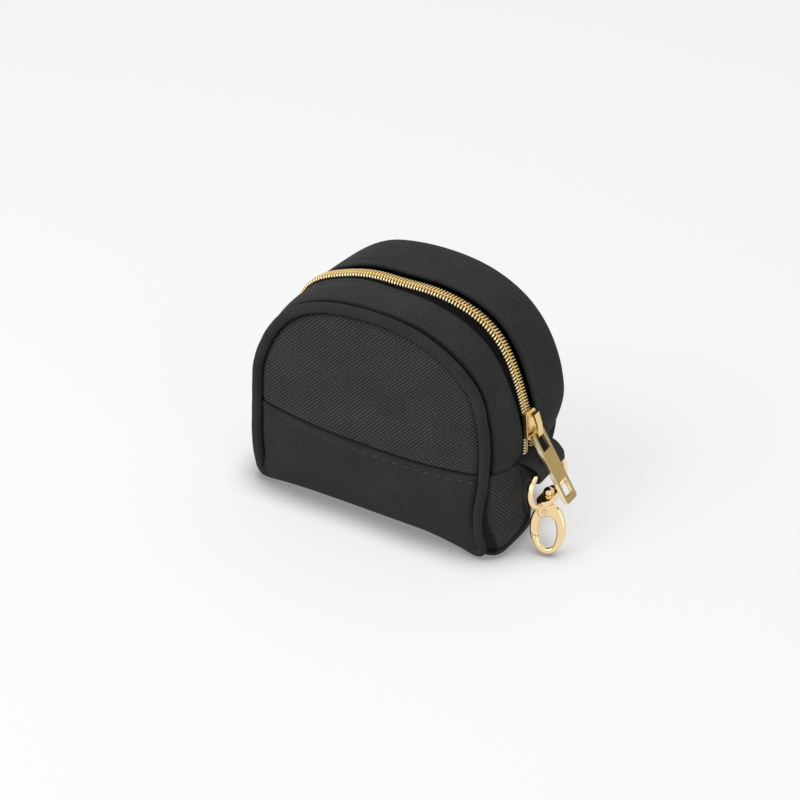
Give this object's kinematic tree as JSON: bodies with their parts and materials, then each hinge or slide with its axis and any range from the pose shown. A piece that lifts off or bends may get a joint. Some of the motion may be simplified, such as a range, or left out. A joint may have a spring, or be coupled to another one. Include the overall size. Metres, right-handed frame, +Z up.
{
  "type": "coin purse",
  "caption": "Small D-shaped zipped coin purse in dark woven fabric with corded piping, a side strap loop and a swivel snap hook with an oval eye and sprung lever",
  "frame": {"origin": "middle of the base, on the surface the purse stands on, under the middle of its fabric body", "axes": "+Z up out of the base, +X towards the strap loop and clasp along the purse's width, -Y out of the front panel"},
  "size_m": [0.122, 0.0566, 0.0892],
  "materials": {
    "shell_cloth": "coarse matte weave",
    "twill_cloth": "fine matte twill",
    "piping_cloth": "fine matte weave over cord",
    "lining_cloth": "smooth lining",
    "strap_cloth": "folded twill strap",
    "zip_tape": "herringbone tape",
    "zip_coil": "metallised gold",
    "slider_metal": "antique plated",
    "pull_metal": "antique plated",
    "clasp_metal": "polished pale gold plate",
    "spring_steel": "plain"
  },
  "bodies": {
    "purse": {"front_upper_panel": "shell_cloth", "front_lower_panel": "twill_cloth", "back_panel": "shell_cloth", "front_lining": "lining_cloth", "back_lining": "lining_cloth", "front_piping": "piping_cloth", "back_piping": "piping_cloth", "front_zip_gusset": "shell_cloth", "back_zip_gusset": "shell_cloth", "lower_gusset": "twill_cloth", "gusset_lining": "lining_cloth", "front_zip_tape": "zip_tape", "back_zip_tape": "zip_tape", "front_zip_coil": "zip_coil", "back_zip_coil": "zip_coil", "side_loop": "strap_cloth"},
    "zip_slider": {"slider_body": "slider_metal"},
    "pull": {"pull_tab": "pull_metal"},
    "eye": {"swivel_eye": "clasp_metal"},
    "hook": {"swivel_rivet": "clasp_metal", "hook_body": "clasp_metal", "lever_pin": "clasp_metal"},
    "lever": {"hook_lever": "clasp_metal", "lever_spring": "spring_steel"}
  },
  "joints": [
    {"name": "zip_slide", "type": "hinge", "parent": "purse", "child": "zip_slider", "pos_m": [-0.001, -0.0015, 0.0373], "axis": [0, -1, 0], "range_deg": [0, 162], "deforming": ["front_zip_coil", "back_zip_coil"]},
    {"name": "pull_swing", "type": "hinge", "parent": "zip_slider", "child": "pull", "pos_m": [0.05336, -0.0015, 0.04342], "axis": [0, -1, 0], "range_deg": [0, 125]},
    {"name": "eye_swing", "type": "hinge", "parent": "purse", "child": "eye", "pos_m": [0.05785, -0.00235, 0.0306], "axis": [0, -1, 0], "range_deg": [-9, 14]},
    {"name": "hook_swivel", "type": "hinge", "parent": "eye", "child": "hook", "pos_m": [0.0596, -0.00235, 0.02106], "axis": [-0.1923, 0.3173, 0.9286], "continuous": true},
    {"name": "lever_open", "type": "hinge", "parent": "hook", "child": "lever", "pos_m": [0.05997, -0.00478, 0.01453], "axis": [0.1872, -0.917, 0.3521], "range_deg": [0, 25], "stiffness_Nm_per_rad": 0.02, "springref_deg": -11.46, "deforming": ["lever_spring"]}
  ]
}
